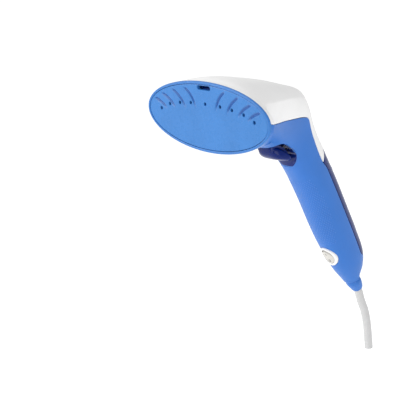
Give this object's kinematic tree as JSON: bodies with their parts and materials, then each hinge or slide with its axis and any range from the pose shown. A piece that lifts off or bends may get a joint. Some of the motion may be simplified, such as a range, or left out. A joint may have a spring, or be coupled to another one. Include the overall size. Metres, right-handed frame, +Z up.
{
  "type": "handheld steamer",
  "caption": "Handheld garment steamer: an oval steam plate on a tapering head, a finger trigger under it and a slanting handle with a lift-off water tank, rocker switch and cord.",
  "frame": {"origin": "middle of the hand grip, on the axis of the handle", "axes": "-Y the way the steam plate faces, +Z up with the plate upright, +X the side towards which the thermal fuse sits"},
  "size_m": [0.144, 0.1818, 0.2888],
  "materials": {
    "blue_plastic": "satin moulded ABS",
    "white_plastic": "glossy moulded ABS",
    "plate_blue": "smooth coated aluminium",
    "navy_plastic": "polished",
    "tank_plastic": "polished, translucent",
    "switch_white": "satin",
    "cord_white": "smooth PVC sheath",
    "cast_aluminium": "as cast",
    "steel": "plated",
    "pump_iron": "laminated iron with a wound bobbin",
    "brass": "turned",
    "silicone": "silicone rubber",
    "clear_hose": "milky silicone",
    "insulator": "mica and glass fibre sheet",
    "chassis_grey": "glass-filled moulding",
    "board_green": "solder mask",
    "black_plastic": "moulded",
    "red_wire": "silicone sleeving",
    "blue_wire": "silicone sleeving"
  },
  "bodies": {
    "steamer_body": {"head_cover": "white_plastic", "body_shell": "blue_plastic", "plate_frame": "blue_plastic", "steam_plate": "plate_blue", "brush_socket": "navy_plastic", "chamber_gasket": "silicone", "steam_chamber": "cast_aluminium", "chamber_lid": "cast_aluminium", "heating_element": "steel", "thermostat": "black_plastic", "thermal_fuse": "insulator", "inlet_nozzle": "brass", "heat_shield": "insulator", "trigger_bracket": "chassis_grey", "trigger_pin": "steel", "trigger_spring": "steel", "microswitch": "black_plastic", "handle_chassis": "chassis_grey", "tank_seal": "silicone", "pump_coil": "pump_iron", "pump_barrel": "clear_hose", "suction_hose": "clear_hose", "chamber_hose": "clear_hose", "control_board": "board_green", "relay": "blue_wire", "capacitor": "navy_plastic", "element_wire_left": "red_wire", "element_wire_right": "blue_wire", "live_wire": "red_wire", "neutral_wire": "blue_wire", "switch_bezel": "switch_white", "switch_housing": "black_plastic", "strain_relief": "blue_plastic", "power_cord": "cord_white", "cord_clamp": "chassis_grey", "chamber_screw_1": "steel", "lid_screw_1": "steel", "chassis_screw_1": "steel", "chamber_screw_2": "steel", "lid_screw_2": "steel", "chassis_screw_2": "steel", "chamber_screw_3": "steel", "lid_screw_3": "steel", "chassis_screw_3": "steel", "chamber_screw_4": "steel", "lid_screw_4": "steel", "chassis_screw_4": "steel", "cover_screw_left": "steel", "cover_screw_right": "steel", "clamp_screw_left": "steel", "clamp_screw_right": "steel"},
    "tank": {"water_tank": "tank_plastic"},
    "cap": {"filler_cap": "navy_plastic"},
    "trigger": {"trigger": "navy_plastic"},
    "rocker": {"power_rocker": "switch_white"},
    "button": {"microswitch_button": "navy_plastic"}
  },
  "joints": [
    {"name": "trigger_hinge", "type": "hinge", "parent": "steamer_body", "child": "trigger", "pos_m": [0, -0.06545, 0.06961], "axis": [1, 0, 0], "range_deg": [0, 6], "stiffness_Nm_per_rad": 0.6, "springref_deg": -8.59, "deforming": ["trigger_spring"]},
    {"name": "microswitch_plunge", "type": "slide", "parent": "steamer_body", "child": "button", "axis": [0, 0, 1], "range_m": [0, 0.002]},
    {"name": "power_rock", "type": "hinge", "parent": "steamer_body", "child": "rocker", "pos_m": [0, 0.00794, -0.05116], "axis": [-1, 0, 0], "range_deg": [0, 12]},
    {"name": "tank_slide", "type": "slide", "parent": "steamer_body", "child": "tank", "axis": [0, 0.9085, 0.4179], "range_m": [0, 0.045]},
    {"name": "filler_cap_hinge", "type": "hinge", "parent": "tank", "child": "cap", "pos_m": [0, 0.01229, 0.02106], "axis": [-1, 0, 0], "range_deg": [0, 90]}
  ],
  "couplings": [
    {"joint": "microswitch_plunge", "follows": "trigger_hinge", "m_per_rad": 0.018}
  ]
}
